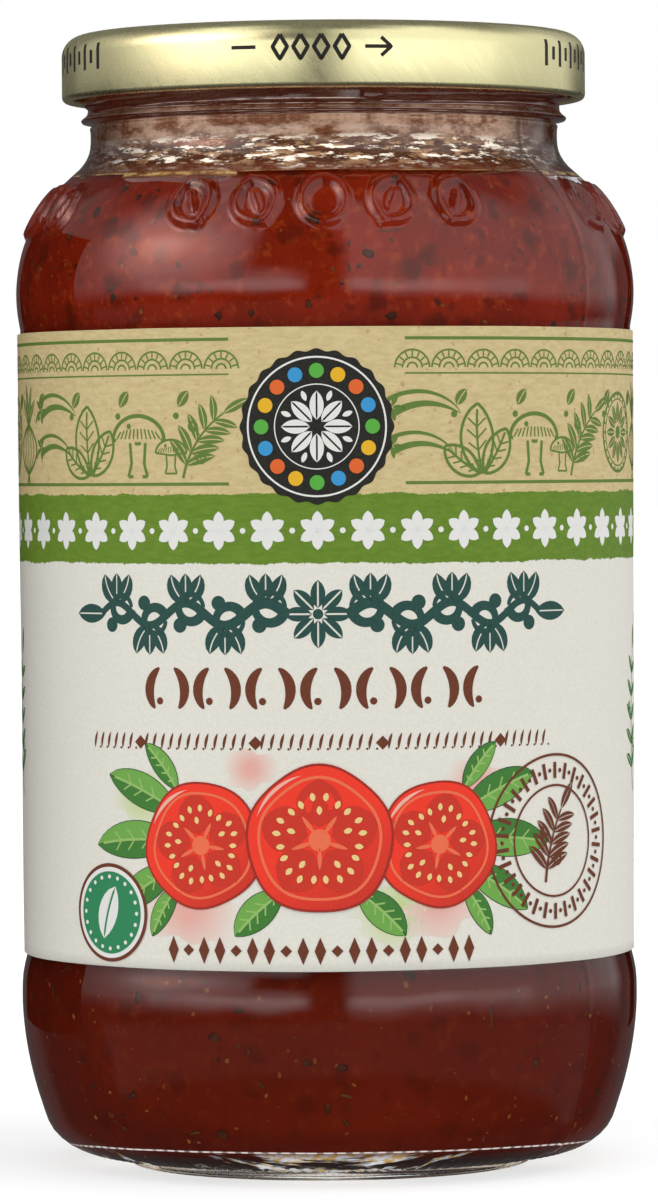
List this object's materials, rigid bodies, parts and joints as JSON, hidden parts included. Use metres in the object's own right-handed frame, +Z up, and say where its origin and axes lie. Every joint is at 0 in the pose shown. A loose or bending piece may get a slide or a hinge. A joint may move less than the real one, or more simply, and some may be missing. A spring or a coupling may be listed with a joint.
{
  "type": "tomato sauce jar",
  "caption": "Shut round glass jar of tomato sauce with a rounded shoulder, a wrapped paper label and a pressed gold metal lug cap.",
  "frame": {"origin": "middle of the foot, on the surface that the jar stands on", "axes": "+Z up along the jar's axis; the front of the label faces -Y"},
  "size_m": [0.0866, 0.0866, 0.1578],
  "materials": {
    "clear_glass": "clear pressed and blown flint glass, glossy, with raised ornament on the shoulder",
    "tomato_sauce": "thick cooked tomato sauce, dark brownish red, with herb flecks and pulp",
    "printed_paper": "uncoated printed label paper: a kraft-coloured band, a green band and a cream field",
    "gold_lacquer": "satin pale gold lacquer on tinplate, finely brushed"
  },
  "bodies": {
    "root": {"glass_jar": "clear_glass", "sauce": "tomato_sauce", "label": "printed_paper", "lid": "gold_lacquer"}
  },
  "joints": []
}
